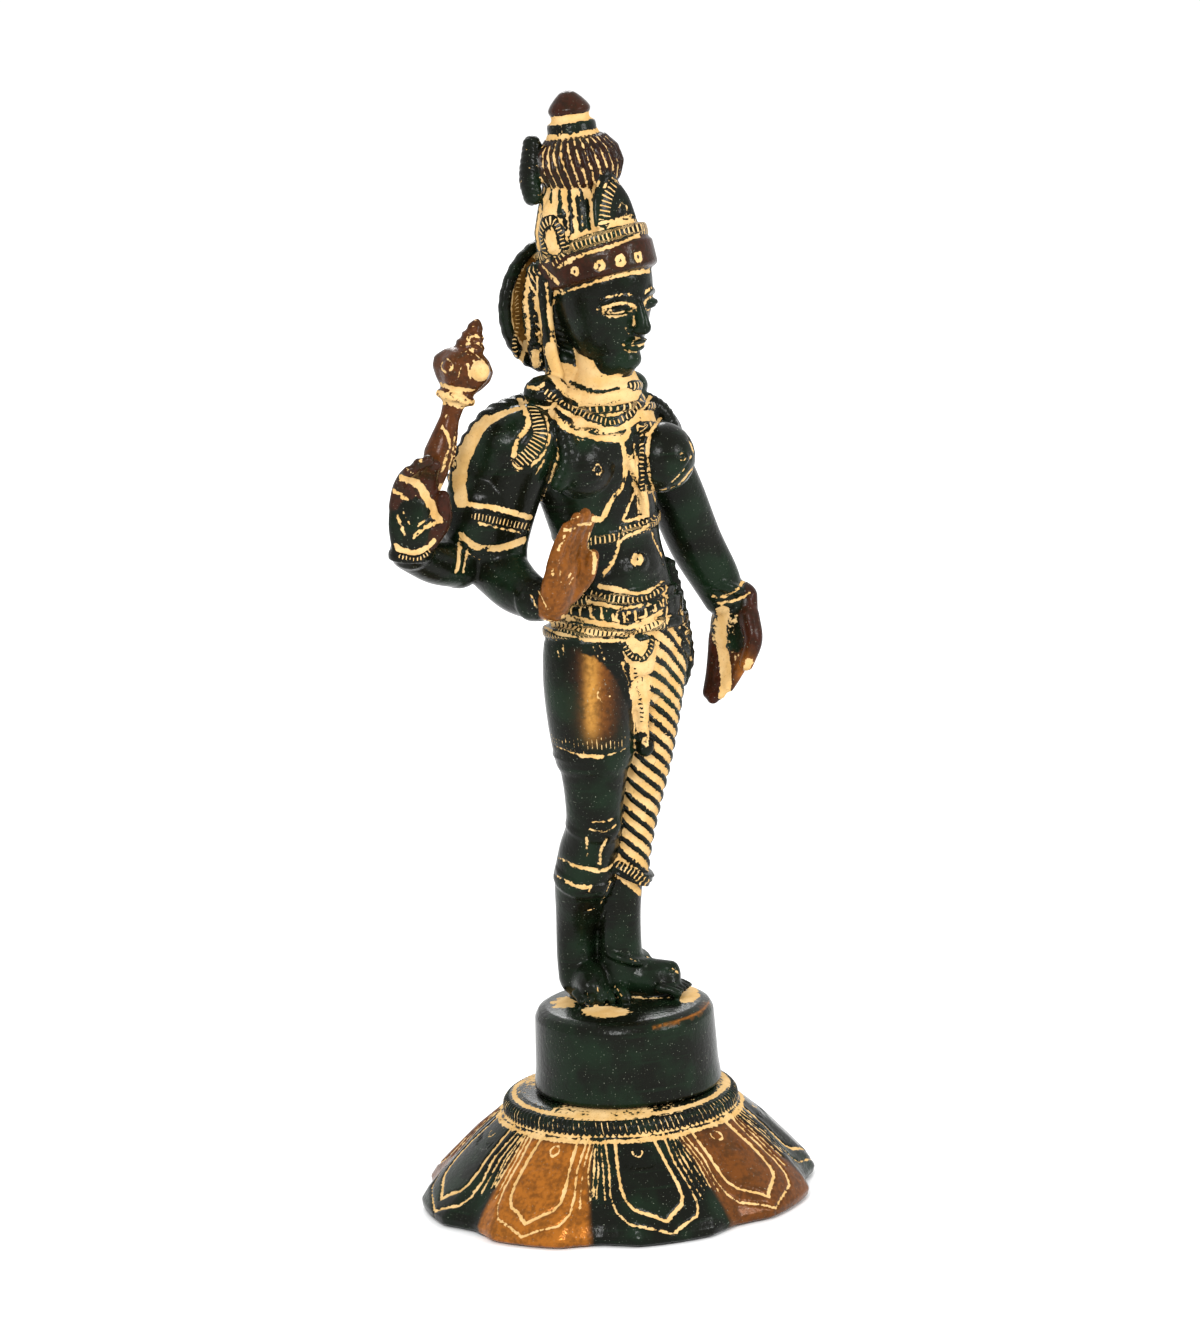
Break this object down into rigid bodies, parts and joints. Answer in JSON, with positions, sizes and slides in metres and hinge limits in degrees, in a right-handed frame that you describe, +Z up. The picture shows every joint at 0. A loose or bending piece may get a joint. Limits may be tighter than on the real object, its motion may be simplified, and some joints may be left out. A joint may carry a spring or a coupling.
{
  "type": "ardhanarishvara figure",
  "caption": "Standing cast-brass figure, half male and half female, with tall crown and halo, on a plain drum over a lotus base.",
  "frame": {"origin": "centre of the flat underside of the lotus base", "axes": "+Z up, the figure faces -Y and its right side is -X"},
  "size_m": [0.1079, 0.0987, 0.2795],
  "materials": {
    "figure_patina": "glossy dark green patina with sandy pigment in the carving",
    "lotus_patina": "dark green and copper brown patina with sandy pigment"
  },
  "bodies": {
    "root": {"figure": "figure_patina", "lotus_base": "lotus_patina"}
  },
  "joints": []
}
